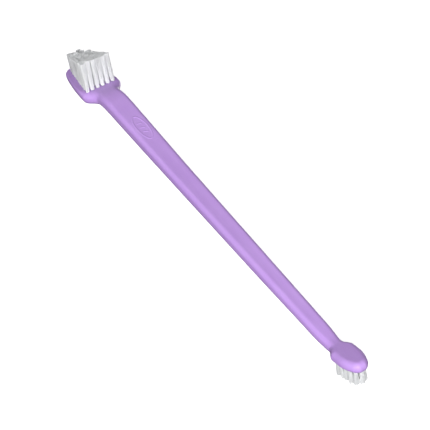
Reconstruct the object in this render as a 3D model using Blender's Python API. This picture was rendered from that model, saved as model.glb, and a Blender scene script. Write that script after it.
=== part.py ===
"""Double-ended pet toothbrush: one moulded body with a large and a small bristle head, tufted with nylon.

Handle coordinates: +X from the large head to the small one, +Z up from the middle of the handle, with the
large head's bristles up and the small head's down. Both heads are pitched the same way about Y, so the large
head's tip drops and the small head's tip rises. The empty rest_frame then lays the brush on its floor,
resting on the large head's tip and on the small head's first row of tufts.
"""

import math

import bmesh
import bpy
import numpy
from mathutils import Matrix, Vector

MM = 0.001

# Body: a straight handle between two bends, in mm from the middle of the handle.
HEAD_PITCH = math.radians(16.5)
LARGE_BEND = 72.2
SMALL_BEND = 86.3
BEND_REACH = 3.0
HANDLE_LARGE_HALF_WIDTH = 5.35
HANDLE_SMALL_HALF_WIDTH = 3.5
HANDLE_LARGE_THICKNESS = 7.0
HANDLE_SMALL_THICKNESS = 5.5
HANDLE_ROUNDNESS = 0.8
NECK_REACH = 6.0

# Head section: how far its two faces lie from the spine, and the rounding of each face's edge.
LARGE_FACE_LEVEL = 2.25
LARGE_BACK_LEVEL = 3.4
SMALL_FACE_LEVEL = 2.15
SMALL_BACK_LEVEL = 3.1
FACE_EDGE_RADIUS = 1.3
BACK_EDGE_RADIUS = 2.5
EDGE_STEPS = 4
EDGE_REACH = 1.05

# Large head, in mm beyond its bend.
LARGE_NECK_END = 3.4
LARGE_SHOULDER = 7.6
LARGE_HALF_WIDTH = 9.1
LARGE_TAPER_START = 10.0
LARGE_TAPER_RATE = 0.031
LARGE_TAPER_POWER = 1.6
LARGE_TIP = 32.8
LARGE_TIP_ROUNDING = 4.6
LARGE_TIP_FLAT = 1.6
LARGE_TIP_POWER = 2.4

# Small head, in mm beyond its bend.
SMALL_NECK_HALF_WIDTH = 3.15
SMALL_NECK_START = -9.0
SMALL_NECK_END = 1.0
SMALL_SHOULDER = 4.8
SMALL_HALF_WIDTH = 4.8
SMALL_TIP = 17.9
SMALL_TIP_ROUNDING = 5.6
SMALL_TIP_FLAT = 0.8
SMALL_TIP_POWER = 1.7

# Tufts. Rows run from the handle towards the tip, and a row's reach is from its first tuft to the centre line.
TUFT_RADIUS = 0.82
TUFT_FLARE = 1.2
TRIM_EDGE = 0.4
TRIM_EDGE_SHARE = 0.8
SOCKET_RADIUS = 1.0
SOCKET_DEPTH = 2.8
TUFT_FLOOR_GAP = 0.2
TUFT_SIDES = 12
ROW_PITCH = 2.55
LARGE_FIRST_ROW = 8.8
LARGE_ROW_COUNTS = (6, 6, 6, 5, 5, 5, 4, 4, 3)
LARGE_FIRST_REACH = 6.38
LARGE_LAST_REACH = 2.55
LARGE_REACH_POWER = 1.4
LARGE_TUFT_HEIGHT = 13.3
LARGE_TRIM_SLOPE = 0.24
SMALL_FIRST_ROW = 4.7
SMALL_ROW_COUNTS = (3, 3, 3, 3, 3)
SMALL_REACH = 2.5
SMALL_LAST_REACH = 1.8
SMALL_LAST_ROW_BOW = 1.1
SMALL_TUFT_HEIGHT = 7.8
SMALL_TRIM_SLOPE = 0.14


def clear_scene():
    for old in list(bpy.data.objects):
        bpy.data.objects.remove(old, do_unlink=True)


def plastic(name, colour, roughness):
    """Principled material with one plain colour."""
    material = bpy.data.materials.new(name)
    material.use_nodes = True
    shader = material.node_tree.nodes["Principled BSDF"]
    shader.inputs["Base Color"].default_value = (*colour, 1.0)
    shader.inputs["Roughness"].default_value = roughness
    shader.inputs["Metallic"].default_value = 0.0
    material.diffuse_color = (*colour, 1.0)
    return material


def new_object(name, bm, material):
    """Turn a bmesh in mm into a named object in metres."""
    bmesh.ops.scale(bm, vec=(MM, MM, MM), verts=bm.verts)
    bmesh.ops.recalc_face_normals(bm, faces=bm.faces)
    mesh = bpy.data.meshes.new(name)
    bm.to_mesh(mesh)
    bm.free()
    mesh.shade_smooth()
    mesh.set_sharp_from_angle(angle=math.radians(35))
    if material:
        mesh.materials.append(material)
    made = bpy.data.objects.new(name, mesh)
    bpy.context.scene.collection.objects.link(made)
    return made


def new_empty(name, parent=None):
    made = bpy.data.objects.new(name, None)
    made.empty_display_size = 10 * MM
    bpy.context.scene.collection.objects.link(made)
    made.parent = parent
    return made


def smooth_step(value, start, end):
    """Rise from 0 to 1 between start and end, level at both."""
    t = min(max((value - start) / (end - start), 0.0), 1.0)
    return t * t * (3.0 - 2.0 * t)


def bend_frame(beyond):
    """(forward, rise, pitch) of the spine this far past the point of the bend, where both are still 0."""
    arc_radius = 2.0 * BEND_REACH / HEAD_PITCH
    run = beyond + BEND_REACH
    if run <= 0.0:
        return beyond, 0.0, 0.0
    pitch = min(run / arc_radius, HEAD_PITCH)
    straight = max(run - 2.0 * BEND_REACH, 0.0)
    forward = -BEND_REACH + arc_radius * math.sin(pitch) + straight * math.cos(pitch)
    rise = arc_radius * (1.0 - math.cos(pitch)) + straight * math.sin(pitch)
    return forward, rise, pitch


def tip_rounding(from_tip, reach, power, flat_share):
    """Share of the full half width left at this distance from the tip."""
    inward = min(max(1.0 - from_tip / reach, 0.0), 1.0)
    return flat_share + (1.0 - flat_share) * (1.0 - inward**power) ** (1.0 / power)


def handle_half_width(x):
    share = (x + LARGE_BEND) / (LARGE_BEND + SMALL_BEND)
    return HANDLE_LARGE_HALF_WIDTH + share * (HANDLE_SMALL_HALF_WIDTH - HANDLE_LARGE_HALF_WIDTH)


def handle_thickness(x):
    share = (x + LARGE_BEND) / (LARGE_BEND + SMALL_BEND)
    return HANDLE_LARGE_THICKNESS + share * (HANDLE_SMALL_THICKNESS - HANDLE_LARGE_THICKNESS)


def large_half_width(beyond):
    handle = handle_half_width(-LARGE_BEND - beyond)
    past_taper = max(beyond - LARGE_TAPER_START, 0.0)
    pad = LARGE_HALF_WIDTH - LARGE_TAPER_RATE * past_taper**LARGE_TAPER_POWER
    flat_share = LARGE_TIP_FLAT / LARGE_HALF_WIDTH
    pad *= tip_rounding(LARGE_TIP - beyond, LARGE_TIP_ROUNDING, LARGE_TIP_POWER, flat_share)
    share = smooth_step(beyond, LARGE_NECK_END, LARGE_SHOULDER)
    return handle + share * (pad - handle)


def small_half_width(beyond):
    neck_share = smooth_step(beyond, SMALL_NECK_START, SMALL_NECK_END)
    handle = handle_half_width(SMALL_BEND + min(beyond, 0.0))
    neck = handle + neck_share * (SMALL_NECK_HALF_WIDTH - handle)
    flat_share = SMALL_TIP_FLAT / SMALL_HALF_WIDTH
    pad = SMALL_HALF_WIDTH * tip_rounding(SMALL_TIP - beyond, SMALL_TIP_ROUNDING, SMALL_TIP_POWER, flat_share)
    share = smooth_step(beyond, SMALL_NECK_END, SMALL_SHOULDER)
    return neck + share * (pad - neck)


def half_width(along):
    """Half width of the body at this distance along the spine from the middle of the handle."""
    if along < 0.0:
        return large_half_width(-LARGE_BEND - along)
    return small_half_width(along - SMALL_BEND)


def make_outline():
    """Points along one side of the body's outline and across its two flat tips, as (along, across)."""
    ends = (-LARGE_BEND - LARGE_TIP, SMALL_BEND + SMALL_TIP)
    stations = numpy.concatenate(
        (
            numpy.linspace(ends[0], ends[0] + 6.0, 240),
            numpy.linspace(ends[0] + 6.0, -LARGE_BEND, 160),
            numpy.linspace(-LARGE_BEND, SMALL_BEND, 200),
            numpy.linspace(SMALL_BEND, ends[1] - 7.0, 80),
            numpy.linspace(ends[1] - 7.0, ends[1], 280),
        )
    )
    points = [(along, half_width(along)) for along in stations]
    for end in ends:
        points += [(end, across) for across in numpy.linspace(0.0, half_width(end), 40)]
    return numpy.array(points)


def inset(outline, along, across):
    """Distance of a point of the body from its outline."""
    return float(numpy.hypot(outline[:, 0] - along, outline[:, 1] - abs(across)).min())


def edge_loss(radius, inward):
    """Height that a rounded edge takes away at this distance inside the outline."""
    short = min(max(1.0 - inward / radius, 0.0), 1.0)
    return radius * (1.0 - math.sqrt(1.0 - short**2))


def section_depths(along):
    """((level, edge radius) above the spine, the same below it) for a station along the spine."""
    half = handle_thickness(min(max(along, -LARGE_BEND), SMALL_BEND)) / 2.0
    handle = (half, HANDLE_ROUNDNESS * half)
    if along < 0.0:
        share = smooth_step(-LARGE_BEND - along, -NECK_REACH, NECK_REACH)
        above, below = (LARGE_FACE_LEVEL, FACE_EDGE_RADIUS), (LARGE_BACK_LEVEL, BACK_EDGE_RADIUS)
    else:
        share = smooth_step(along - SMALL_BEND, -NECK_REACH, NECK_REACH)
        above, below = (SMALL_BACK_LEVEL, BACK_EDGE_RADIUS), (SMALL_FACE_LEVEL, FACE_EDGE_RADIUS)
    return [[start + share * (end - start) for start, end in zip(handle, side)] for side in (above, below)]


def spine_point(along, up):
    """Point above the spine in the middle plane, and the unit vector that points up there."""
    sign = -1.0 if along < 0.0 else 1.0
    bend = LARGE_BEND if along < 0.0 else SMALL_BEND
    forward, rise, pitch = bend_frame(sign * along - bend)
    outward = Vector((-math.sin(pitch), 0.0, math.cos(pitch)))
    return Vector((sign * (bend + forward), 0.0, sign * rise)) + up * outward


def section(outline, along):
    """Ring of points across the spine, anticlockwise seen from the small head's side."""
    width = half_width(along)
    above, below = section_depths(along)
    opening = [math.pi / 2.0 * step / EDGE_STEPS for step in range(EDGE_STEPS + 1)]
    closing = opening[::-1]
    points = []
    for side, turn, (level, radius), angles in (
        (1, 1, above, opening),
        (-1, 1, above, closing),
        (-1, -1, below, opening),
        (1, -1, below, closing),
    ):
        reach = min(EDGE_REACH * radius, 0.98 * width)
        for angle in angles:
            across = side * (width - reach * (1.0 - math.cos(angle)))
            inward = inset(outline, along, across) if angle > 0.0 else 0.0
            point = spine_point(along, turn * (level - edge_loss(radius, inward)))
            points.append(point + Vector((0.0, across, 0.0)))
    return points


def spaced(start, end, count):
    return [start + (end - start) * step / count for step in range(count)]


def tip_spaced(start, tip, count):
    """Stations that close up towards a rounded tip and end on it."""
    return [tip - (tip - start) * (1.0 - math.sin(math.pi / 2.0 * step / count)) for step in range(count + 1)]


def body_stations():
    """Distances along the spine of the body's sections, closer together at the bends, shoulders and tips."""
    large = spaced(-12.0, -3.0, 3) + spaced(-3.0, 1.0, 4) + spaced(1.0, 8.0, 10)
    large += spaced(8.0, LARGE_TIP - 5.0, 6) + tip_spaced(LARGE_TIP - 5.0, LARGE_TIP, 9)
    small = spaced(-12.0, -3.0, 3) + spaced(-3.0, 1.0, 4) + spaced(1.0, 5.0, 7)
    small += spaced(5.0, SMALL_TIP - 6.0, 3) + tip_spaced(SMALL_TIP - 6.0, SMALL_TIP, 9)
    return [-LARGE_BEND - beyond for beyond in reversed(large)] + [SMALL_BEND + beyond for beyond in small]


def make_body(material):
    """Loft the body through its sections and close both tips."""
    bm = bmesh.new()
    outline = make_outline()
    rings = [[bm.verts.new(point) for point in section(outline, along)] for along in body_stations()]
    for near, far in zip(rings, rings[1:]):
        for index, corner in enumerate(near):
            following = (index + 1) % len(near)
            bm.faces.new((corner, near[following], far[following], far[index]))
    bm.faces.new(rings[0])
    bm.faces.new(reversed(rings[-1]))
    return new_object("brush_body", bm, material)


def large_tuft_places():
    """(name, along, across, height) of each large tuft, along from the first row towards the handle."""
    last = len(LARGE_ROW_COUNTS) - 1
    for row, count in enumerate(LARGE_ROW_COUNTS):
        along = -row * ROW_PITCH
        drawn_in = (row / last) ** LARGE_REACH_POWER
        reach = LARGE_FIRST_REACH + drawn_in * (LARGE_LAST_REACH - LARGE_FIRST_REACH)
        for place in range(count):
            across = reach * (2.0 * place / (count - 1) - 1.0)
            height = LARGE_TUFT_HEIGHT + LARGE_TRIM_SLOPE * along
            yield f"large_tuft_{row + 1}_{place + 1}", along, across, height


def small_tuft_places():
    """(name, along, across, height) of each small tuft, along from the first row towards the tip."""
    last = len(SMALL_ROW_COUNTS) - 1
    for row, count in enumerate(SMALL_ROW_COUNTS):
        reach = SMALL_LAST_REACH if row == last else SMALL_REACH
        for place in range(count):
            share = 2.0 * place / (count - 1) - 1.0
            along = row * ROW_PITCH
            if row == last:
                along += SMALL_LAST_ROW_BOW * (1.0 - share**2)
            height = SMALL_TUFT_HEIGHT - SMALL_TRIM_SLOPE * along
            yield f"small_tuft_{row + 1}_{place + 1}", along, reach * share, height


def tuft_ring(bm, radius, level, slope):
    ring = []
    for side in range(TUFT_SIDES):
        angle = 2.0 * math.pi * (side + 0.5) / TUFT_SIDES
        x = radius * math.cos(angle)
        ring.append(bm.verts.new((x, radius * math.sin(angle), level + slope * x)))
    return ring


def make_tuft(name, height, slope, material):
    """One tuft as a solid: its root, its slightly flared shaft and its trimmed top with a soft edge."""
    bm = bmesh.new()
    flared = TUFT_RADIUS * TUFT_FLARE
    rings = (
        tuft_ring(bm, TUFT_RADIUS, TUFT_FLOOR_GAP - SOCKET_DEPTH, 0.0),
        tuft_ring(bm, TUFT_RADIUS, 0.0, 0.0),
        tuft_ring(bm, flared, height - TRIM_EDGE, slope),
        tuft_ring(bm, TRIM_EDGE_SHARE * flared, height, slope),
    )
    for near, far in zip(rings, rings[1:]):
        for side in range(TUFT_SIDES):
            following = (side + 1) % TUFT_SIDES
            bm.faces.new((near[side], near[following], far[following], far[side]))
    bm.faces.new(reversed(rings[0]))
    bm.faces.new(rings[-1])
    return new_object(name, bm, material)


def plant_tufts(places, slope, frame, material):
    tufts = []
    for name, along, across, height in places:
        tuft = make_tuft(name, height, slope, material)
        tuft.parent = frame
        tuft.location = Vector((along, across, 0.0)) * MM
        tufts.append(tuft)
    return tufts


def make_sockets(name, places, frame):
    """Cutter with one cylinder for each tuft, closed and standing proud of the pad's face."""
    bm = bmesh.new()
    proud = 1.0
    for _, along, across, _ in places:
        middle = Matrix.Translation((along, across, (proud - SOCKET_DEPTH) / 2.0))
        turn = Matrix.Rotation(math.pi / TUFT_SIDES, 4, "Z")
        bmesh.ops.create_cone(
            bm,
            cap_ends=True,
            segments=TUFT_SIDES,
            radius1=SOCKET_RADIUS,
            radius2=SOCKET_RADIUS,
            depth=SOCKET_DEPTH + proud,
            matrix=middle @ turn,
        )
    cutter = new_object(name, bm, None)
    cutter.parent = frame
    cutter.hide_render = True
    cutter.display_type = "WIRE"
    return cutter


def cut(body, cutter):
    modifier = body.modifiers.new(cutter.name, "BOOLEAN")
    modifier.operation = "DIFFERENCE"
    modifier.solver = "EXACT"
    modifier.object = cutter


def head_frame(name, parent, beyond, bend, sign, face_level):
    """Empty on a pad's bristle face at the first row, X along the pad towards the small head's side, Z outward."""
    forward, rise, pitch = bend_frame(beyond)
    frame = new_empty(name, parent)
    centre = Vector((sign * (bend + forward), 0.0, sign * rise))
    outward = Vector((-math.sin(pitch), 0.0, math.cos(pitch))) * -sign
    frame.location = (centre + outward * face_level) * MM
    turn = Matrix.Rotation(-pitch, 4, "Y")
    if sign > 0:
        turn = turn @ Matrix.Rotation(math.pi, 4, "X")
    frame.rotation_euler = turn.to_euler()
    return frame


def world_points(objects):
    bpy.context.view_layer.update()
    return [made.matrix_world @ vertex.co for made in objects for vertex in made.data.vertices]


def lay_on_floor(rest, objects):
    """Turn the brush until its large tip and its small tufts both touch, and centre it on the origin."""
    for _ in range(4):
        points = world_points(objects)
        large = min((point for point in points if point.x < 0.0), key=lambda point: point.z)
        small = min((point for point in points if point.x > 0.0), key=lambda point: point.z)
        rest.rotation_euler.y += math.atan2(small.z - large.z, small.x - large.x)
    points = world_points(objects)
    rest.location.x -= (min(point.x for point in points) + max(point.x for point in points)) / 2.0
    rest.location.z -= min(point.z for point in points)
    bpy.context.view_layer.update()


def build():
    clear_scene()
    body_plastic = plastic("lilac_polypropylene", (0.46, 0.30, 0.68), 0.35)
    nylon = plastic("white_nylon", (0.86, 0.86, 0.85), 0.5)
    rest = new_empty("rest_frame")
    body = make_body(body_plastic)
    body.parent = rest
    large_frame = head_frame("large_head_frame", rest, LARGE_FIRST_ROW, LARGE_BEND, -1, LARGE_FACE_LEVEL)
    small_frame = head_frame("small_head_frame", rest, SMALL_FIRST_ROW, SMALL_BEND, 1, SMALL_FACE_LEVEL)
    cut(body, make_sockets("large_sockets", large_tuft_places(), large_frame))
    cut(body, make_sockets("small_sockets", small_tuft_places(), small_frame))
    pieces = [body]
    pieces += plant_tufts(large_tuft_places(), LARGE_TRIM_SLOPE, large_frame, nylon)
    pieces += plant_tufts(small_tuft_places(), -SMALL_TRIM_SLOPE, small_frame, nylon)
    lay_on_floor(rest, pieces)


build()
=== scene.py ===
import math
import random

import bmesh
import bpy
import numpy as np
from mathutils import Matrix, Vector


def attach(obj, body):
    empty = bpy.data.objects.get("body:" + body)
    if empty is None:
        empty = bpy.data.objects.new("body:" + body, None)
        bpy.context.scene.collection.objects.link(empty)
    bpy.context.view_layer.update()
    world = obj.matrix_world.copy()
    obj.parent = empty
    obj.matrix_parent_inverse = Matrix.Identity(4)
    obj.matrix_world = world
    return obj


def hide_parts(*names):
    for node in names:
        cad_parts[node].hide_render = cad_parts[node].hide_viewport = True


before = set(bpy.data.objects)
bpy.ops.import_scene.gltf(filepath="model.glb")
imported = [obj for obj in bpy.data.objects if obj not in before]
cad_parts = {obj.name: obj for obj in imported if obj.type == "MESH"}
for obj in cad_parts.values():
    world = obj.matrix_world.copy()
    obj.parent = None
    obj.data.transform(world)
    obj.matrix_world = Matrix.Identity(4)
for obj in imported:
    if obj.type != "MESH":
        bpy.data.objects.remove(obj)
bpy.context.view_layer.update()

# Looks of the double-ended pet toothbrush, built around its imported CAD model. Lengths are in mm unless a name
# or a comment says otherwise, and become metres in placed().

MM = 0.001

# Body, from the middle of the handle.
HEAD_PITCH = math.radians(16.5)
LARGE_BEND = 72.2
SMALL_BEND = 86.3
BEND_REACH = 3.0
HANDLE_LARGE_HALF_WIDTH = 5.43
HANDLE_SMALL_HALF_WIDTH = 3.57
HANDLE_TOP = 2.2
HANDLE_TOP_RISE = 0.9
HANDLE_UNDERSIDE = 3.35
HANDLE_UNDERSIDE_RISE = 0.45
HANDLE_EDGE_RADIUS = 2.1
NECK_REACH = 7.0
LARGE_FACE_LEVEL = 2.25
LARGE_SURFACE_DROP = 0.3
LARGE_BACK_LEVEL = 3.4
SMALL_FACE_LEVEL = 2.15
SMALL_BACK_LEVEL = 2.35
FACE_EDGE_RADIUS = 0.8
SMALL_BACK_RADIUS = 2.4
SMALL_FACE_RADIUS = 1.8
LARGE_BACK_RADIUS = 2.8
LARGE_BACK_DROP = 4.1
SHOULDER_FADE = 15.0
SHOULDER_MIDDLE = 6.5
SHOULDER_REACH = 4.0
NECK_SIDE_REACH = 7.0
SHOULDER_SOFTNESS = 1.7
SHOULDER_DROP = 0.45
THINNEST_EDGE = 0.3
EDGE_REACH = 1.05

# Large head, beyond its bend.
LARGE_NECK_END = 2.2
LARGE_SHOULDER = 8.6
LARGE_HALF_WIDTH = 9.42
LARGE_TAPER_START = 10.0
LARGE_TAPER_RATE = 0.0475
LARGE_TAPER_POWER = 1.45
LARGE_TIP = 32.8
LARGE_TIP_ROUNDING = 4.6
LARGE_TIP_FLAT = 1.6
LARGE_TIP_POWER = 2.4

# Small head, beyond its bend.
SMALL_NECK_HALF_WIDTH = 3.15
SMALL_NECK_START = -9.0
SMALL_NECK_END = 0.4
SMALL_SHOULDER = 5.2
SMALL_HALF_WIDTH = 5.4
SMALL_TAPER_START = 9.5
SMALL_TAPER_RATE = 0.072
SMALL_TAPER_POWER = 1.75
SMALL_TIP = 17.9
SMALL_TIP_ROUNDING = 2.2
SMALL_TIP_FLAT = 2.0
SMALL_TIP_POWER = 2.0

# Tuft rows, from the handle towards each tip.
TUFT_ROOT = -2.6
SOCKET_RADIUS = 1.0
SOCKET_DEPTH = 2.8
ROW_PITCH = 2.55
LARGE_FIRST_ROW = 8.8
LARGE_ROW_COUNTS = (6, 6, 6, 5, 5, 5, 4, 4, 3)
LARGE_FIRST_REACH = 6.38
LARGE_LAST_REACH = 2.4
LARGE_REACH_POWER = 1.12
LARGE_TUFT_HEIGHT = 13.3
LARGE_TRIM_SLOPE = 0.24
SMALL_FIRST_ROW = 4.7
SMALL_ROW_COUNTS = (3, 3, 3, 3, 3)
SMALL_REACH = 2.5
SMALL_LAST_REACH = 1.8
SMALL_LAST_ROW_BOW = 1.1
SMALL_TUFT_HEIGHT = 7.8
SMALL_TRIM_SLOPE = 0.14

# Surface detail that only the looks have.
DISH_DEPTH = 0.12
SEAM_HEIGHT = 0.05
SEAM_HALF_WIDTH = 0.14
BADGE_CENTRE = -47.5
BADGE_HALF_LENGTH = 7.0
BADGE_HALF_WIDTH = 2.5
BADGE_LINE = 0.42
BADGE_HEIGHT = 0.16

# Filaments and their anchors.
FILAMENT_RADIUS = 0.105
FILAMENT_SPACING = 0.235
FILAMENT_SIDES = 7
BUNDLE_RADIUS = 0.8
LARGE_FLARE_RADIUS = 1.2
SMALL_FLARE_RADIUS = 1.06

# Shading of the filaments: they shade as the block of tufts they belong to, and only partly as thin rods.
FILAMENT_FACING = 0.45
TIP_LEAN = 0.25
TUFT_HALF = 1.0
BLOCK_SOFTNESS = 0.7
LARGE_SLANT_GAIN = 2.7
LARGE_TILT = 0.0
SMALL_SLANT_GAIN = 1.0
SMALL_TILT = 0.13

# Seed of each head's first tuft; the tufts after it count up from there.
LARGE_SEED = 100
SMALL_SEED = 500

# Camera, from the middle of the handle.
CAMERA_AZIMUTH = math.radians(54.45)
CAMERA_ELEVATION = math.radians(49.01)
CAMERA_ROLL = math.radians(1.52)
CAMERA_LENS = 138.3
CAMERA_SENSOR = 36.0
CAMERA_DISTANCE = 668.8
CAMERA_SIDE = 3.62
CAMERA_RISE = -5.09

# Light and stage: distances and sizes in metres, powers in watts.
STAGE_RADIUS = 3.0
FLOOR_GLOW = 0.62
KEY_POWER = 12.1
KEY_DISTANCE = 0.9
KEY_SIZE = 0.68
KEY_AZIMUTH = math.radians(52.0)
KEY_ELEVATION = math.radians(33.0)
BACK_POWER = 2.9
BACK_DISTANCE = 0.7
BACK_SIZE = 0.5
BACK_AZIMUTH = math.radians(216.0)
BACK_ELEVATION = math.radians(-36.0)
FILL_POWER = 0.026
FILL_DISTANCE = 0.14
FILL_SIZE = 0.09
FILL_AIM = (-0.1, -0.004, 0.006)
FILL_FROM = (-0.12, -0.42, 0.90)
WORLD_BELOW = 0.02
WORLD_LOW = -0.2
WORLD_HIGH = 1.0
WORLD_ABOVE = 0.43


# ---------------------------------------------------------------- geometry of the body


def smooth_step(value, start, end):
    t = min(max((value - start) / (end - start), 0.0), 1.0)
    return t * t * (3.0 - 2.0 * t)


def bend_frame(beyond):
    """(forward, rise, pitch) of the spine this far past a bend."""
    arc_radius = 2.0 * BEND_REACH / HEAD_PITCH
    run = beyond + BEND_REACH
    if run <= 0.0:
        return beyond, 0.0, 0.0
    pitch = min(run / arc_radius, HEAD_PITCH)
    straight = max(run - 2.0 * BEND_REACH, 0.0)
    forward = -BEND_REACH + arc_radius * math.sin(pitch) + straight * math.cos(pitch)
    rise = arc_radius * (1.0 - math.cos(pitch)) + straight * math.sin(pitch)
    return forward, rise, pitch


def tip_rounding(from_tip, reach, power, flat_share):
    inward = min(max(1.0 - from_tip / reach, 0.0), 1.0)
    return flat_share + (1.0 - flat_share) * (1.0 - inward**power) ** (1.0 / power)


def handle_half_width(x):
    share = (x + LARGE_BEND) / (LARGE_BEND + SMALL_BEND)
    return HANDLE_LARGE_HALF_WIDTH + share * (HANDLE_SMALL_HALF_WIDTH - HANDLE_LARGE_HALF_WIDTH)


def handle_levels(x):
    """Height of the handle's top face and depth of its underside, which bows down between the heads."""
    top = HANDLE_TOP + HANDLE_TOP_RISE * smooth_step(-x, 10.0, 75.0)
    underside = HANDLE_UNDERSIDE - HANDLE_UNDERSIDE_RISE * smooth_step(abs(x), 35.0, 75.0)
    return top, underside


def large_half_width(beyond):
    handle = handle_half_width(-LARGE_BEND - beyond)
    past_taper = max(beyond - LARGE_TAPER_START, 0.0)
    pad = LARGE_HALF_WIDTH - LARGE_TAPER_RATE * past_taper**LARGE_TAPER_POWER
    flat_share = LARGE_TIP_FLAT / LARGE_HALF_WIDTH
    pad *= tip_rounding(LARGE_TIP - beyond, LARGE_TIP_ROUNDING, LARGE_TIP_POWER, flat_share)
    share = smooth_step(beyond, LARGE_NECK_END, LARGE_SHOULDER)
    return handle + share * (pad - handle)


def small_half_width(beyond):
    neck_share = smooth_step(beyond, SMALL_NECK_START, SMALL_NECK_END)
    handle = handle_half_width(SMALL_BEND + min(beyond, 0.0))
    neck = handle + neck_share * (SMALL_NECK_HALF_WIDTH - handle)
    flat_share = SMALL_TIP_FLAT / SMALL_HALF_WIDTH
    pad = SMALL_HALF_WIDTH - SMALL_TAPER_RATE * max(beyond - SMALL_TAPER_START, 0.0) ** SMALL_TAPER_POWER
    pad *= tip_rounding(SMALL_TIP - beyond, SMALL_TIP_ROUNDING, SMALL_TIP_POWER, flat_share)
    share = smooth_step(beyond, SMALL_NECK_END, SMALL_SHOULDER)
    return neck + share * (pad - neck)


def half_width(along):
    if along < 0.0:
        return large_half_width(-LARGE_BEND - along)
    return small_half_width(along - SMALL_BEND)


def towards(start, end, count):
    """Stations from start that close up on end, which they include."""
    return [end - (end - start) * (1.0 - math.sin(math.pi / 2.0 * step / count)) for step in range(count + 1)]


def evenly(start, end, pitch):
    count = max(int(math.ceil(abs(end - start) / pitch)), 1)
    return [start + (end - start) * step / count for step in range(count)]


LARGE_END = -LARGE_BEND - LARGE_TIP
SMALL_END = SMALL_BEND + SMALL_TIP


def make_outline():
    """One side of the outline and both flat tips as a fine open line of (along, across)."""
    stations = towards(LARGE_END + 7.0, LARGE_END, 420)[::-1]
    stations += evenly(LARGE_END + 7.0, -LARGE_BEND, 0.05)[1:]
    stations += evenly(-LARGE_BEND, SMALL_BEND, 0.4)
    stations += evenly(SMALL_BEND, SMALL_END - 8.0, 0.05)
    stations += towards(SMALL_END - 8.0, SMALL_END, 420)
    line = [(LARGE_END, across) for across in np.linspace(0.0, half_width(LARGE_END), 40)]
    line += [(along, half_width(along)) for along in stations]
    line += [(SMALL_END, across) for across in np.linspace(half_width(SMALL_END), 0.0, 40)]
    return np.array(line)


def insets(outline, points):
    """Distance of each (along, across) point from the outline."""
    starts, ends = outline[:-1], outline[1:]
    span = ends - starts
    length = np.maximum((span**2).sum(1), 1e-12)
    found = []
    for chunk in np.array_split(points, max(len(points) // 800, 1)):
        nearest = np.hypot(
            chunk[:, 0:1] - outline[None, :, 0], chunk[:, 1:2] - outline[None, :, 1]
        ).argmin(1)
        best = np.full(len(chunk), 1e9)
        for shift in (-1, 0):
            index = np.clip(nearest + shift, 0, len(span) - 1)
            share = np.clip(((chunk - starts[index]) * span[index]).sum(1) / length[index], 0.0, 1.0)
            foot = starts[index] + span[index] * share[:, None]
            best = np.minimum(best, np.hypot(*(chunk - foot).T))
        found.append(best)
    return np.concatenate(found)


def edge_loss(radius, drop, inward):
    """Depth lost this far in from the outline, on an oval edge of this radius and drop."""
    short = np.clip(1.0 - inward / radius, 0.0, 1.0)
    return drop * (1.0 - np.sqrt(1.0 - short**2))


def section_depths(along):
    """(level, edge radius, edge drop) of the face above and of the face below the spine."""
    top, underside = handle_levels(min(max(along, -LARGE_BEND), SMALL_BEND))
    handle = (
        (top, HANDLE_EDGE_RADIUS, HANDLE_EDGE_RADIUS),
        (underside, HANDLE_EDGE_RADIUS, HANDLE_EDGE_RADIUS),
    )
    swell = 0.0
    if along < 0.0:
        beyond = -LARGE_BEND - along
        head = (
            (LARGE_FACE_LEVEL - LARGE_SURFACE_DROP, FACE_EDGE_RADIUS, FACE_EDGE_RADIUS),
            (LARGE_BACK_LEVEL, LARGE_BACK_RADIUS, LARGE_BACK_DROP),
        )
        fade = smooth_step(beyond, 2.0, SHOULDER_FADE)
        past_middle = beyond - SHOULDER_MIDDLE
        reach = SHOULDER_REACH if past_middle > 0.0 else NECK_SIDE_REACH
        swell = math.exp(-((past_middle / reach) ** 2))
    else:
        beyond = along - SMALL_BEND
        head = (
            (SMALL_BACK_LEVEL, SMALL_BACK_RADIUS, SMALL_BACK_RADIUS),
            (SMALL_FACE_LEVEL, SMALL_FACE_RADIUS, SMALL_FACE_RADIUS),
        )
        fade = smooth_step(beyond, -NECK_REACH, NECK_REACH)
    share = smooth_step(beyond, -NECK_REACH, NECK_REACH)
    (top, top_radius, top_drop), (low, low_radius, low_drop) = (
        (
            start[0] + share * (end[0] - start[0]),
            start[1] + fade * (end[1] - start[1]),
            start[2] + fade * (end[2] - start[2]),
        )
        for start, end in zip(handle, head)
    )
    top_radius += SHOULDER_SOFTNESS * swell
    top_drop += SHOULDER_DROP * swell
    low_drop = min(low_drop, low + top - top_drop - THINNEST_EDGE)
    return (top, top_radius, top_drop), (low, low_radius, low_drop)


def spine_frame(along):
    """(point of the spine, unit vector that points up out of it) in the middle plane."""
    sign = -1.0 if along < 0.0 else 1.0
    bend = LARGE_BEND if along < 0.0 else SMALL_BEND
    forward, rise, pitch = bend_frame(sign * along - bend)
    point = np.array((sign * (bend + forward), 0.0, sign * rise))
    return point, np.array((-math.sin(pitch), 0.0, math.cos(pitch)))


def dish(along, across, width, radius):
    """Hollow of the handle's broad faces, which runs out before both necks."""
    fade = smooth_step(along, -LARGE_BEND + 3.0, -LARGE_BEND + 17.0)
    fade *= 1.0 - smooth_step(along, SMALL_BEND - 19.0, SMALL_BEND - 5.0)
    inner = np.clip(np.abs(across) / (width - 0.5 * radius), 0.0, 1.0)
    return DISH_DEPTH * fade * (1.0 - inner**2) ** 2


def ridge(distance, half):
    """Soft-sided raised line: 1 on the line and 0 at its half width."""
    t = np.clip(1.0 - np.abs(distance) / half, 0.0, 1.0)
    return t * t * (3.0 - 2.0 * t)


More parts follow.
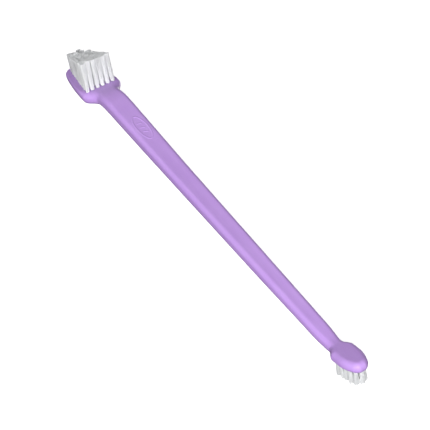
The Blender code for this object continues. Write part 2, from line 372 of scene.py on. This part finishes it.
def badge(along, across):
    """Height of the plain raised oval and its three bars on the handle's face."""
    u = (along - BADGE_CENTRE) / BADGE_HALF_LENGTH
    v = across / BADGE_HALF_WIDTH
    reach = np.hypot(u, v) + 1e-9
    slope = np.hypot(u / BADGE_HALF_LENGTH, v / BADGE_HALF_WIDTH) / reach + 1e-9
    height = ridge((reach - 1.0) / slope, BADGE_LINE)
    for bar in (-1.0, 0.0, 1.0):
        lean = along - BADGE_CENTRE - 2.6 * bar - 0.35 * across
        end = np.clip((1.25 - np.abs(across)) / 0.4, 0.0, 1.0)
        height = np.maximum(height, ridge(lean, BADGE_LINE) * end)
    return BADGE_HEIGHT * height


EDGE_STEPS = 10
FACE_STEPS = 38
BACK_STEPS = 10


def across_places(width, radius, steps):
    """Places across one face from its +Y edge to its -Y edge, closer together on the rounded edges."""
    reach = min(EDGE_REACH * radius, 0.98 * width)
    edge = [width - reach * (1.0 - math.cos(math.pi / 2.0 * step / EDGE_STEPS)) for step in range(EDGE_STEPS)]
    inner = width - reach
    middle = [inner * (1.0 - 2.0 * step / steps) for step in range(steps + 1)]
    return np.array(edge + middle + [-place for place in reversed(edge)])


def body_stations():
    stations = towards(LARGE_END + 7.0, LARGE_END, 34)[::-1]
    stations += evenly(LARGE_END + 7.0, -LARGE_BEND - 9.0, 0.7)[1:]
    stations += evenly(-LARGE_BEND - 9.0, -LARGE_BEND + 4.0, 0.3)
    stations += evenly(-LARGE_BEND + 4.0, BADGE_CENTRE - 8.0, 1.2)
    stations += evenly(BADGE_CENTRE - 8.0, BADGE_CENTRE + 8.0, 0.14)
    stations += evenly(BADGE_CENTRE + 8.0, SMALL_BEND - 10.0, 1.6)
    stations += evenly(SMALL_BEND - 10.0, SMALL_BEND - 1.0, 0.6)
    stations += evenly(SMALL_BEND - 1.0, SMALL_BEND + 6.0, 0.25)
    stations += evenly(SMALL_BEND + 6.0, SMALL_END - 8.0, 0.6)
    stations += towards(SMALL_END - 8.0, SMALL_END, 36)
    return stations


def body_rings():
    """Rings of points in handle coordinates, each anticlockwise seen from the small head's side."""
    outline = make_outline()
    stations = body_stations()
    layout, flat_points = [], []
    for along in stations:
        width = half_width(along)
        above, below = section_depths(along)
        faces = []
        for (level, radius, drop), steps in ((above, FACE_STEPS), (below, BACK_STEPS)):
            across = across_places(width, radius, steps)
            faces.append((level, radius, drop, across))
            flat_points.append(np.column_stack((np.full(len(across), along), np.abs(across))))
        layout.append((along, width, faces))
    inward = insets(outline, np.concatenate(flat_points))
    rings, used = [], 0
    for along, width, faces in layout:
        point, up = spine_frame(along)
        heights = []
        for level, radius, drop, across in faces:
            inset = inward[used : used + len(across)]
            used += len(across)
            heights.append(level - edge_loss(radius, drop, inset) - dish(along, across, width, radius))
        top_across, bottom_across = faces[0][3], faces[1][3][::-1]
        top = heights[0] + badge(along, top_across)
        bottom = -heights[1][::-1]
        past_large_end = smooth_step(along - LARGE_END, 0.2, 3.0)
        past_small_end = smooth_step(SMALL_END - along, 0.2, 3.0)
        seam = SEAM_HEIGHT * min(past_large_end, past_small_end)
        middle = 0.5 * (top[0] + bottom[-1])
        reach = min(SEAM_HALF_WIDTH, 0.4 * (top[0] - bottom[-1]))
        right = ((width, middle - reach), (width + seam, middle), (width, middle + reach))
        left = tuple((-y, 2.0 * middle - z) for y, z in right)
        ring = list(zip(top_across, top)) + list(left) + list(zip(bottom_across, bottom)) + list(right)
        rings.append([point + up * z + np.array((0.0, y, 0.0)) for y, z in ring])
    return rings


# ---------------------------------------------------------------- frames


def head_matrix(beyond, bend, sign, face_level):
    """Frame on a pad's bristle face at its first row: X along the pad, Z outward, in handle coordinates."""
    forward, rise, pitch = bend_frame(beyond)
    outward = Vector((-math.sin(pitch), 0.0, math.cos(pitch))) * -sign
    centre = Vector((sign * (bend + forward), 0.0, sign * rise)) + outward * face_level
    turn = Matrix.Rotation(-pitch, 4, "Y")
    if sign > 0:
        turn = turn @ Matrix.Rotation(math.pi, 4, "X")
    return Matrix.Translation(centre) @ turn


LARGE_FRAME = head_matrix(LARGE_FIRST_ROW, LARGE_BEND, -1, LARGE_FACE_LEVEL)
SMALL_FRAME = head_matrix(SMALL_FIRST_ROW, SMALL_BEND, 1, SMALL_FACE_LEVEL)


def large_tuft_places():
    last = len(LARGE_ROW_COUNTS) - 1
    for row, count in enumerate(LARGE_ROW_COUNTS):
        drawn_in = (row / last) ** LARGE_REACH_POWER
        reach = LARGE_FIRST_REACH + drawn_in * (LARGE_LAST_REACH - LARGE_FIRST_REACH)
        for place in range(count):
            along = -row * ROW_PITCH
            across = reach * (2.0 * place / (count - 1) - 1.0)
            yield f"{row + 1}_{place + 1}", along, across, LARGE_TUFT_HEIGHT + LARGE_TRIM_SLOPE * along


def small_tuft_places():
    last = len(SMALL_ROW_COUNTS) - 1
    for row, count in enumerate(SMALL_ROW_COUNTS):
        reach = SMALL_LAST_REACH if row == last else SMALL_REACH
        for place in range(count):
            share = 2.0 * place / (count - 1) - 1.0
            along = row * ROW_PITCH
            if row == last:
                along += SMALL_LAST_ROW_BOW * (1.0 - share**2)
            yield f"{row + 1}_{place + 1}", along, reach * share, SMALL_TUFT_HEIGHT - SMALL_TRIM_SLOPE * along


def cad_root(name, outward):
    """Centre in mm of a CAD tuft's root ring, read from its own vertices."""
    points = np.array([vertex.co[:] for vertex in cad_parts[name].data.vertices]) / MM
    depth = points @ np.array(outward)
    root = points[depth < depth.min() + 0.3]
    return (root.min(0) + root.max(0)) / 2.0


def find_rest():
    """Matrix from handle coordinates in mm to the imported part's frame in mm, from two CAD tufts."""
    up = Vector((-math.sin(HEAD_PITCH), 0.0, math.cos(HEAD_PITCH)))
    _, large_along, large_across, _ = next(large_tuft_places())
    _, small_along, small_across, _ = next(small_tuft_places())
    large = LARGE_FRAME @ Vector((large_along, large_across, TUFT_ROOT))
    small = SMALL_FRAME @ Vector((small_along, small_across, TUFT_ROOT))
    cad_large = cad_root("large_tuft_1_1", up)
    cad_small = cad_root("small_tuft_1_1", -up)
    before = math.atan2(small.z - large.z, small.x - large.x)
    after = math.atan2(cad_small[2] - cad_large[2], cad_small[0] - cad_large[0])
    turn = Matrix.Rotation(before - after, 4, "Y")
    moved = turn @ large
    shift = Vector((cad_large[0] - moved.x, 0.0, cad_large[2] - moved.z))
    return Matrix.Translation(shift) @ turn


REST = find_rest()


# ---------------------------------------------------------------- mesh helpers


def placed(points, matrix):
    """Points in mm through a matrix, as metres."""
    array = np.asarray(points, float)
    m = np.array(matrix)
    return (array @ m[:3, :3].T + m[:3, 3]) * MM


def new_piece(name, points, faces, material, sharp=40.0):
    mesh = bpy.data.meshes.new(name)
    mesh.from_pydata([tuple(point) for point in points], [], faces)
    mesh.validate()
    mesh.shade_smooth()
    mesh.set_sharp_from_angle(angle=math.radians(sharp))
    mesh.materials.append(material)
    piece = bpy.data.objects.new(name, mesh)
    bpy.context.scene.collection.objects.link(piece)
    return piece


def baked_modifiers(piece, sharp):
    """Replace a piece's mesh by its evaluated mesh and drop its modifiers."""
    bpy.context.view_layer.update()
    evaluated = piece.evaluated_get(bpy.context.evaluated_depsgraph_get())
    mesh = bpy.data.meshes.new_from_object(evaluated)
    piece.modifiers.clear()
    piece.data = mesh
    mesh.shade_smooth()
    mesh.set_sharp_from_angle(angle=math.radians(sharp))


# ---------------------------------------------------------------- node materials


class Nodes:
    """A short way to write a node tree."""

    def __init__(self, tree):
        self.tree = tree

    def add(self, kind, settings=None, **inputs):
        node = self.tree.nodes.new(kind)
        for key, value in (settings or {}).items():
            setattr(node, key, value)
        for key, value in inputs.items():
            self.plug(value, node.inputs[key.replace("_", " ")])
        return node

    def plug(self, value, socket):
        if isinstance(value, bpy.types.NodeSocket):
            self.tree.links.new(value, socket)
        elif isinstance(value, bpy.types.Node):
            self.tree.links.new(value.outputs[0], socket)
        else:
            socket.default_value = value

    def maths(self, operation, first, second=0.0, third=0.0, clamp=False):
        node = self.tree.nodes.new("ShaderNodeMath")
        node.operation = operation
        node.use_clamp = clamp
        for value, socket in zip((first, second, third), node.inputs):
            self.plug(value, socket)
        return node.outputs[0]

    def noise(self, vector, scale, detail=3.0, roughness=0.5, distortion=0.0):
        node = self.add(
            "ShaderNodeTexNoise",
            Vector=vector,
            Scale=scale,
            Detail=detail,
            Roughness=roughness,
            Distortion=distortion,
        )
        return node.outputs["Fac"]

    def stretch(self, vector, scale):
        node = self.tree.nodes.new("ShaderNodeMapping")
        self.plug(vector, node.inputs["Vector"])
        node.inputs["Scale"].default_value = scale
        return node.outputs["Vector"]

    def band(self, value, low, high, to_low=0.0, to_high=1.0):
        node = self.tree.nodes.new("ShaderNodeMapRange")
        node.interpolation_type = "SMOOTHSTEP"
        for key, number in (("From Min", low), ("From Max", high), ("To Min", to_low), ("To Max", to_high)):
            node.inputs[key].default_value = number
        self.plug(value, node.inputs["Value"])
        return node.outputs["Result"]

    def mix(self, share, first, second):
        node = self.tree.nodes.new("ShaderNodeMix")
        node.data_type = "RGBA"
        self.plug(share, node.inputs["Factor"])
        self.plug(first, node.inputs[6])
        self.plug(second, node.inputs[7])
        return node.outputs[2]

    def bump(self, height, distance, strength=1.0, normal=None):
        node = self.add("ShaderNodeBump", Strength=strength, Distance=distance, Height=height)
        if normal is not None:
            self.tree.links.new(normal, node.inputs["Normal"])
        return node.outputs["Normal"]


def new_material(name, preview):
    material = bpy.data.materials.new(name)
    material.use_nodes = True
    material.diffuse_color = (*preview, 1.0)
    nodes = Nodes(material.node_tree)
    shader = material.node_tree.nodes["Principled BSDF"]
    return material, nodes, shader


def colour(red, green, blue):
    return (red, green, blue, 1.0)


def lilac_plastic():
    """Satin moulded polypropylene: pigment drift, flow lines, fine grain, rubbed edges and light scuffs."""
    material, n, shader = new_material("lilac_polypropylene_satin", (0.44, 0.29, 0.65))
    where = n.add("ShaderNodeTexCoord").outputs["Object"]
    drift = n.noise(where, 55.0, 2.0, 0.5)
    flow = n.noise(n.stretch(where, (0.12, 1.0, 1.0)), 900.0, 4.0, 0.55, 0.4)
    grain = n.noise(where, 3800.0, 2.0, 0.6)
    base = n.mix(n.band(drift, 0.3, 0.7), colour(0.430, 0.257, 0.626), colour(0.452, 0.274, 0.648))
    base = n.mix(n.maths("MULTIPLY", n.band(flow, 0.35, 0.75), 0.25), base, colour(0.480, 0.309, 0.686))
    pointed = n.add("ShaderNodeNewGeometry").outputs["Pointiness"]
    rubbed = n.maths("MULTIPLY", n.band(pointed, 0.53, 0.60), n.band(n.noise(where, 420.0, 3.0), 0.4, 0.65))
    base = n.mix(n.maths("MULTIPLY", rubbed, 0.22), base, colour(0.56, 0.42, 0.75))
    specks = n.band(n.noise(where, 1500.0, 1.0), 0.73, 0.78)
    base = n.mix(n.maths("MULTIPLY", specks, 0.10), base, colour(0.30, 0.18, 0.46))
    n.plug(base, shader.inputs["Base Color"])
    smear = n.noise(n.stretch(where, (0.5, 1.0, 1.0)), 260.0, 3.0, 0.6)
    rough = n.maths("ADD", n.band(smear, 0.3, 0.7, 0.46, 0.56), n.maths("MULTIPLY", rubbed, 0.06))
    n.plug(rough, shader.inputs["Roughness"])
    shader.inputs["IOR"].default_value = 1.45
    shader.inputs["Subsurface Weight"].default_value = 0.06
    shader.inputs["Subsurface Radius"].default_value = (1.0, 0.7, 1.2)
    shader.inputs["Subsurface Scale"].default_value = 0.0006
    shader.inputs["Sheen Weight"].default_value = 0.04
    shader.inputs["Sheen Roughness"].default_value = 0.5
    scuffs = n.noise(n.stretch(where, (0.06, 1.0, 0.5)), 2600.0, 2.0, 0.7, 0.2)
    normal = n.bump(grain, 0.000012, 0.5)
    normal = n.bump(n.band(scuffs, 0.62, 0.72), 0.000006, 0.5, normal)
    normal = n.bump(n.noise(where, 330.0, 2.0), 0.00003, 0.5, normal)
    n.plug(normal, shader.inputs["Normal"])
    return material


def white_nylon():
    """Round nylon filaments, each a slightly different white, with faint cloudy patches and a little waxy."""
    material, n, shader = new_material("white_nylon_filament", (0.86, 0.87, 0.88))
    geometry = n.add("ShaderNodeNewGeometry")
    island = geometry.outputs["Random Per Island"]
    where = n.add("ShaderNodeTexCoord").outputs["Object"]
    base = n.mix(n.band(island, 0.0, 1.0), colour(0.73, 0.745, 0.76), colour(0.825, 0.835, 0.845))
    cloudy = n.noise(where, 700.0, 3.0, 0.6)
    base = n.mix(n.band(cloudy, 0.35, 0.75, 0.0, 0.35), base, colour(0.77, 0.785, 0.80))
    n.plug(base, shader.inputs["Base Color"])
    n.plug(n.band(n.noise(where, 1400.0, 2.0), 0.3, 0.7, 0.30, 0.42), shader.inputs["Roughness"])
    shader.inputs["IOR"].default_value = 1.53
    shader.inputs["Subsurface Weight"].default_value = 1.0
    shader.inputs["Subsurface Radius"].default_value = (1.0, 1.0, 1.0)
    shader.inputs["Subsurface Scale"].default_value = 0.0002
    shader.inputs["Sheen Weight"].default_value = 0.05
    bundle = n.add("ShaderNodeAttribute", {"attribute_name": "bundle_facing"}).outputs["Vector"]
    own = n.add("ShaderNodeVectorMath", {"operation": "SCALE"})
    n.plug(geometry.outputs["Normal"], own.inputs[0])
    own.inputs["Scale"].default_value = FILAMENT_FACING
    both = n.add("ShaderNodeVectorMath", {"operation": "ADD"})
    n.plug(bundle, both.inputs[0])
    n.plug(own.outputs["Vector"], both.inputs[1])
    unit = n.add("ShaderNodeVectorMath", {"operation": "NORMALIZE"})
    n.plug(both.outputs["Vector"], unit.inputs[0])
    fine = n.bump(n.noise(where, 6000.0, 2.0), 0.000008, 0.4, unit.outputs["Vector"])
    n.plug(fine, shader.inputs["Normal"])
    return material


def nickel_silver():
    """Drawn anchor wire: bright, with fine lines along it and dull patches."""
    material, n, shader = new_material("nickel_silver_anchor", (0.68, 0.64, 0.56))
    where = n.add("ShaderNodeTexCoord").outputs["Object"]
    patches = n.noise(where, 900.0, 3.0)
    base = n.mix(n.band(patches, 0.3, 0.7), colour(0.70, 0.66, 0.58), colour(0.60, 0.55, 0.47))
    n.plug(base, shader.inputs["Base Color"])
    n.plug(n.band(patches, 0.3, 0.7, 0.24, 0.4), shader.inputs["Roughness"])
    shader.inputs["Metallic"].default_value = 1.0
    lines = n.noise(n.stretch(where, (0.1, 1.0, 1.0)), 9000.0, 2.0)
    n.plug(n.bump(lines, 0.000005, 0.5), shader.inputs["Normal"])
    return material


def studio_floor():
    material, n, shader = new_material("pale_floor", (0.92, 0.92, 0.92))
    where = n.add("ShaderNodeTexCoord").outputs["Object"]
    base = n.mix(n.noise(where, 6.0, 2.0), colour(0.90, 0.90, 0.90), colour(0.93, 0.93, 0.93))
    n.plug(base, shader.inputs["Base Color"])
    shader.inputs["Roughness"].default_value = 0.9
    shader.inputs["Specular IOR Level"].default_value = 0.1
    shader.inputs["Emission Color"].default_value = (1.0, 1.0, 1.0, 1.0)
    shader.inputs["Emission Strength"].default_value = FLOOR_GLOW
    return material


# ---------------------------------------------------------------- pieces


def add_sockets(body):
    """Cut the blind tuft holes, each with a fine countersink at its mouth."""
    sides = 28
    heads = (
        ("large", large_tuft_places(), LARGE_FRAME, -LARGE_SURFACE_DROP),
        ("small", small_tuft_places(), SMALL_FRAME, 0.0),
    )
    for label, places, matrix, mouth in heads:
        profile = (
            (SOCKET_RADIUS, -SOCKET_DEPTH),
            (SOCKET_RADIUS, mouth - 0.06),
            (SOCKET_RADIUS + 0.05, mouth),
            (SOCKET_RADIUS + 0.05, 0.8),
        )
        points, faces = [], []
        for _, along, across, _ in places:
            start = len(points)
            for radius, level in profile:
                for side in range(sides):
                    angle = 2.0 * math.pi * side / sides
                    side_x, side_y = radius * math.cos(angle), radius * math.sin(angle)
                    points.append((along + side_x, across + side_y, level))
            for ring in range(len(profile) - 1):
                for side in range(sides):
                    low, high = start + ring * sides, start + (ring + 1) * sides
                    following = (side + 1) % sides
                    faces.append((low + side, low + following, high + following, high + side))
            faces.append(tuple(start + side for side in reversed(range(sides))))
            faces.append(tuple(start + (len(profile) - 1) * sides + side for side in range(sides)))
        plastic = body.data.materials[0]
        cutter = new_piece(f"{label}_socket_cutter", placed(points, REST @ matrix), faces, plastic)
        modifier = body.modifiers.new("sockets", "BOOLEAN")
        modifier.operation = "DIFFERENCE"
        modifier.solver = "MANIFOLD"
        modifier.object = cutter
        baked_modifiers(body, 38.0)
        bpy.data.objects.remove(cutter, do_unlink=True)


def make_body(material):
    rings = body_rings()
    count = len(rings[0])
    points = placed([point for ring in rings for point in ring], REST)
    faces = []
    for near in range(len(rings) - 1):
        for index in range(count):
            following = (index + 1) % count
            a, b = near * count, (near + 1) * count
            faces.append((a + index, a + following, b + following, b + index))
    faces.append(tuple(range(count)))
    last = (len(rings) - 1) * count
    faces.append(tuple(last + index for index in reversed(range(count))))
    body = new_piece("moulded_brush_body", points, faces, material)
    bm = bmesh.new()
    bm.from_mesh(body.data)
    bmesh.ops.recalc_face_normals(bm, faces=bm.faces)
    bm.to_mesh(body.data)
    bm.free()
    add_sockets(body)
    return body


def bundle_places(dice):
    """Places of a tuft's filaments at its root, on a loose hexagonal grid."""
    turn = dice.uniform(0.0, math.pi / 3.0)
    offset_x, offset_y = dice.uniform(-0.1, 0.1), dice.uniform(-0.1, 0.1)
    places = []
    for row in range(-5, 6):
        for column in range(-5, 6):
            x = (column + 0.5 * (row % 2)) * FILAMENT_SPACING + offset_x
            y = row * FILAMENT_SPACING * math.sqrt(3.0) / 2.0 + offset_y
            if math.hypot(x, y) <= BUNDLE_RADIUS:
                x += dice.uniform(-0.015, 0.015)
                y += dice.uniform(-0.015, 0.015)
                turned_x = x * math.cos(turn) - y * math.sin(turn)
                turned_y = x * math.sin(turn) + y * math.cos(turn)
                places.append((turned_x, turned_y))
    return places


def block_facing(x, y, head):
    """Direction in which the block of tufts faces at this place, softened at its corners."""
    near, far, reach_at, slant_gain, tilt = head
    reach = reach_at(x)
    slant = slant_gain * (reach_at(x + 0.5) - reach_at(x - 0.5))
    sides = (
        (near - x, (1.0, 0.0)),
        (x - far, (-1.0, 0.0)),
        (reach - y, (-slant, 1.0)),
        (reach + y, (-slant, -1.0)),
    )
    total_x = total_y = 0.0
    for depth, (side_x, side_y) in sides:
        weight = math.exp(-max(depth, 0.0) / BLOCK_SOFTNESS)
        total_x += weight * side_x
        total_y += weight * side_y
    length = max(math.hypot(total_x, total_y), 1.0)
    return total_x / length, total_y / length, tilt


def large_block_reach(x):
    share = min(max(-x / (ROW_PITCH * (len(LARGE_ROW_COUNTS) - 1)), 0.0), 1.0)
    drawn_in = share**LARGE_REACH_POWER
    return LARGE_FIRST_REACH + drawn_in * (LARGE_LAST_REACH - LARGE_FIRST_REACH) + TUFT_HALF


def small_block_reach(x):
    return SMALL_REACH + TUFT_HALF


# Each block: its end towards +X and towards -X, its half width at x, the gain on its slant and its tilt to
# the tips.
LARGE_BLOCK = (
    TUFT_HALF,
    -ROW_PITCH * (len(LARGE_ROW_COUNTS) - 1) - TUFT_HALF,
    large_block_reach,
    LARGE_SLANT_GAIN,
    LARGE_TILT,
)
SMALL_BLOCK = (
    ROW_PITCH * (len(SMALL_ROW_COUNTS) - 1) + SMALL_LAST_ROW_BOW + TUFT_HALF,
    -TUFT_HALF,
    small_block_reach,
    SMALL_SLANT_GAIN,
    SMALL_TILT,
)


def make_tuft(name, along, across, height, slope, flare_radius, head, matrix, material, seed):
    """A bundle of filaments that spreads from its socket and is trimmed on the head's slope."""
    dice = random.Random(seed)
    loose = smooth_step(abs(along), 9.0, 20.0)
    lean_x, lean_y = dice.gauss(0.0, 0.10 + 0.16 * loose), dice.gauss(0.0, 0.08 + 0.14 * loose)
    lean_y -= 0.5 * smooth_step(across, 1.0, 7.0)
    height += dice.gauss(0.0, 0.2 + 0.18 * loose)
    spread = flare_radius / BUNDLE_RADIUS * dice.uniform(0.96, 1.05) * (1.0 - 0.13 * loose)
    oval = dice.uniform(-0.06, 0.06)
    points, faces, facing = [], [], []
    for x, y in bundle_places(dice):
        side_x, side_y, tilt = block_facing(along + x, across + y, head)
        bend_x, bend_y = dice.gauss(0.0, 0.07), dice.gauss(0.0, 0.07)
        if dice.random() < 0.03:
            bend_x, bend_y = 3.0 * bend_x, 3.0 * bend_y
        radius = FILAMENT_RADIUS * dice.uniform(0.94, 1.04)
        tip_x = x * spread * (1.0 + oval) + lean_x + bend_x
        tip = height + slope * tip_x + dice.gauss(0.0, 0.09)
        sideways = 0.14 if x >= 0.0 else -0.14
        start = len(points)
        turn = dice.uniform(0.0, 2.0 * math.pi)
        levels = [(TUFT_ROOT + 0.15, radius), (-1.3, radius), (0.0, radius)]
        levels += [(share * tip, radius) for share in (0.2, 0.45, 0.7, 0.88)]
        levels += [(tip - 0.09, radius), (tip - 0.025, 0.7 * radius)]
        for level, ring_radius in levels:
            share = max(level, 0.0) / height
            opened = share**0.75
            grow = 1.0 + (spread - 1.0) * opened
            buried = smooth_step(-level, 1.0, 2.4)
            cx = x * grow * (1.0 + oval * opened) + lean_x * opened + bend_x * share**2 + sideways * buried
            cy = y * grow * (1.0 - oval * opened) + lean_y * opened + bend_y * share**2
            upward = smooth_step(level, tip - 0.05, tip - 0.02)
            for side in range(FILAMENT_SIDES):
                angle = turn + 2.0 * math.pi * side / FILAMENT_SIDES
                ring_x, ring_y = ring_radius * math.cos(angle), ring_radius * math.sin(angle)
                points.append((along + cx + ring_x, across + cy + ring_y, level))
                facing.append(
                    (
                        side_x * (1.0 - upward) + TIP_LEAN * upward,
                        side_y * (1.0 - upward) - 0.6 * TIP_LEAN * upward,
                        tilt * (1.0 - upward) + upward,
                    )
                )
        points.append((along + cx, across + cy, tip))
        facing.append((TIP_LEAN, -0.6 * TIP_LEAN, 1.0))
        for ring in range(len(levels) - 1):
            for side in range(FILAMENT_SIDES):
                low, high = start + ring * FILAMENT_SIDES, start + (ring + 1) * FILAMENT_SIDES
                following = (side + 1) % FILAMENT_SIDES
                faces.append((low + side, low + following, high + following, high + side))
        top = start + (len(levels) - 1) * FILAMENT_SIDES
        for side in range(FILAMENT_SIDES):
            faces.append((top + side, top + (side + 1) % FILAMENT_SIDES, len(points) - 1))
        faces.append(tuple(start + side for side in reversed(range(FILAMENT_SIDES))))
    tuft = new_piece(name, placed(points, REST @ matrix), faces, material, 60.0)
    turned = np.asarray(facing) @ np.array((REST @ matrix).to_3x3()).T
    if len(tuft.data.vertices) == len(turned):
        layer = tuft.data.attributes.new("bundle_facing", "FLOAT_VECTOR", "POINT")
        layer.data.foreach_set("vector", turned.astype(np.float32).ravel())
    return tuft


def make_anchor(name, along, across, matrix, material):
    """Flat wire pressed across the bottom of a socket: waisted, with rounded corners and edges."""
    half_length, half_thickness, low, high, corner = 1.12, 0.11, -2.68, -1.55, 0.22
    outline = []
    corners = ((1, high), (-1, high), (-1, low), (1, low))
    for quarter, (side, level) in enumerate(corners):
        centre_y = side * (half_length - corner)
        centre_z = level - corner if level == high else level + corner
        for step in range(5):
            angle = math.pi / 2.0 * (quarter + step / 4.0)
            outline.append((centre_y + corner * math.cos(angle), centre_z + corner * math.sin(angle)))
    layers = (
        (-half_thickness, 0.94),
        (-0.6 * half_thickness, 1.0),
        (0.6 * half_thickness, 1.0),
        (half_thickness, 0.94),
    )
    middle = (low + high) / 2.0
    points, faces = [], []
    for x, share in layers:
        for y, z in outline:
            waist = 1.0 - 0.10 * math.exp(-((y / 0.45) ** 2))
            points.append((along + x, across + y * share, middle + (z - middle) * share * waist))
    count = len(outline)
    for layer in range(len(layers) - 1):
        for index in range(count):
            following = (index + 1) % count
            a, b = layer * count, (layer + 1) * count
            faces.append((a + index, a + following, b + following, b + index))
    faces.append(tuple(reversed(range(count))))
    faces.append(tuple((len(layers) - 1) * count + index for index in range(count)))
    return new_piece(name, placed(points, REST @ matrix), faces, material)


def make_head(label, places, slope, flare, block, matrix, nylon, metal, seed):
    for index, (place, along, across, height) in enumerate(places):
        tuft = make_tuft(
            f"{label}_filaments_{place}",
            along,
            across,
            height,
            slope,
            flare,
            block,
            matrix,
            nylon,
            seed + index,
        )
        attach(tuft, "root")
        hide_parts(f"{label}_tuft_{place}")
        anchor = make_anchor(f"{label}_anchor_{place}", along, across, matrix, metal)
        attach(anchor, "root")


# ---------------------------------------------------------------- stage, light and camera


def camera_only(stage_object):
    """Seen by the camera, and lights nothing."""
    stage_object.visible_diffuse = False
    stage_object.visible_glossy = False
    stage_object.visible_transmission = False
    stage_object.visible_volume_scatter = False


def make_stage():
    bm = bmesh.new()
    bmesh.ops.create_circle(bm, cap_ends=True, segments=96, radius=STAGE_RADIUS)
    mesh = bpy.data.meshes.new("floor")
    bm.to_mesh(mesh)
    bm.free()
    mesh.materials.append(studio_floor())
    floor = bpy.data.objects.new("floor", mesh)
    bpy.context.scene.collection.objects.link(floor)
    camera_only(floor)
    floor.visible_shadow = False

    bm = bmesh.new()
    bmesh.ops.create_uvsphere(bm, u_segments=64, v_segments=32, radius=STAGE_RADIUS)
    mesh = bpy.data.meshes.new("backdrop")
    bm.to_mesh(mesh)
    bm.free()
    mesh.shade_smooth()
    material = bpy.data.materials.new("white_backdrop")
    material.use_nodes = True
    shader = material.node_tree.nodes["Principled BSDF"]
    shader.inputs["Base Color"].default_value = (0.0, 0.0, 0.0, 1.0)
    shader.inputs["Specular IOR Level"].default_value = 0.0
    shader.inputs["Emission Color"].default_value = (1.0, 1.0, 1.0, 1.0)
    shader.inputs["Emission Strength"].default_value = 1.0
    mesh.materials.append(material)
    dome = bpy.data.objects.new("backdrop", mesh)
    bpy.context.scene.collection.objects.link(dome)
    camera_only(dome)
    dome.visible_shadow = False


def direction(azimuth, elevation):
    """Unit vector towards a place at this azimuth and elevation, in the handle's own axes."""
    level = math.cos(elevation)
    return Vector((math.sin(azimuth) * level, -math.cos(azimuth) * level, math.sin(elevation)))


def add_area(name, aim, towards_it, distance, size, power, tint):
    light = bpy.data.lights.new(name, "AREA")
    light.shape = "DISK"
    light.size = size
    light.energy = power
    light.color = tint
    lamp = bpy.data.objects.new(name, light)
    lamp.location = aim + towards_it * distance
    lamp.rotation_mode = "QUATERNION"
    lamp.rotation_quaternion = towards_it.to_track_quat("Z", "Y")
    lamp.visible_camera = False
    bpy.context.scene.collection.objects.link(lamp)


def make_light():
    turn = REST.to_3x3()
    key = turn @ direction(KEY_AZIMUTH, KEY_ELEVATION)
    add_area("key", Vector(), key, KEY_DISTANCE, KEY_SIZE, KEY_POWER, (1.0, 1.0, 1.0))
    back = turn @ direction(BACK_AZIMUTH, BACK_ELEVATION)
    add_area("back", Vector(), back, BACK_DISTANCE, BACK_SIZE, BACK_POWER, (1.0, 1.0, 1.0))
    fill = Vector(FILL_FROM).normalized()
    add_area("fill", Vector(FILL_AIM), fill, FILL_DISTANCE, FILL_SIZE, FILL_POWER, (1.0, 1.0, 1.0))
    world = bpy.data.worlds.new("studio_air")
    bpy.context.scene.world = world
    world.use_nodes = True
    n = Nodes(world.node_tree)
    background = world.node_tree.nodes["Background"]
    split = n.add("ShaderNodeSeparateXYZ", Vector=n.add("ShaderNodeTexCoord").outputs["Generated"])
    height = n.band(split.outputs["Z"], WORLD_LOW, WORLD_HIGH, WORLD_BELOW, WORLD_ABOVE)
    n.plug(height, background.inputs["Strength"])
    background.inputs["Color"].default_value = (1.0, 1.0, 1.0, 1.0)


def make_camera():
    back = direction(CAMERA_AZIMUTH, CAMERA_ELEVATION)
    right = Vector((math.cos(CAMERA_AZIMUTH), math.sin(CAMERA_AZIMUTH), 0.0))
    up = back.cross(right)
    side = right * math.cos(CAMERA_ROLL) + up * math.sin(CAMERA_ROLL)
    rise = up * math.cos(CAMERA_ROLL) - right * math.sin(CAMERA_ROLL)
    place = side * CAMERA_SIDE + rise * CAMERA_RISE + back * CAMERA_DISTANCE
    turn = Matrix((side, rise, back)).transposed().to_4x4()
    data = bpy.data.cameras.new("camera")
    data.sensor_width = CAMERA_SENSOR
    data.lens = CAMERA_LENS
    data.clip_start = 0.01
    data.clip_end = 20.0
    camera = bpy.data.objects.new("camera", data)
    bpy.context.scene.collection.objects.link(camera)
    matrix = REST @ Matrix.Translation(place) @ turn
    camera.matrix_world = Matrix.Translation(matrix.translation * MM) @ matrix.to_3x3().to_4x4()
    bpy.context.scene.camera = camera


# ---------------------------------------------------------------- build

plastic = lilac_plastic()
nylon = white_nylon()
metal = nickel_silver()
body = make_body(plastic)
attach(body, "root")
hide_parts("brush_body")
make_head(
    "large",
    large_tuft_places(),
    LARGE_TRIM_SLOPE,
    LARGE_FLARE_RADIUS,
    LARGE_BLOCK,
    LARGE_FRAME,
    nylon,
    metal,
    LARGE_SEED,
)
make_head(
    "small",
    small_tuft_places(),
    -SMALL_TRIM_SLOPE,
    SMALL_FLARE_RADIUS,
    SMALL_BLOCK,
    SMALL_FRAME,
    nylon,
    metal,
    SMALL_SEED,
)
make_stage()
make_light()
make_camera()
view = bpy.context.scene.view_settings
view.view_transform = "Standard"
view.look = "None"
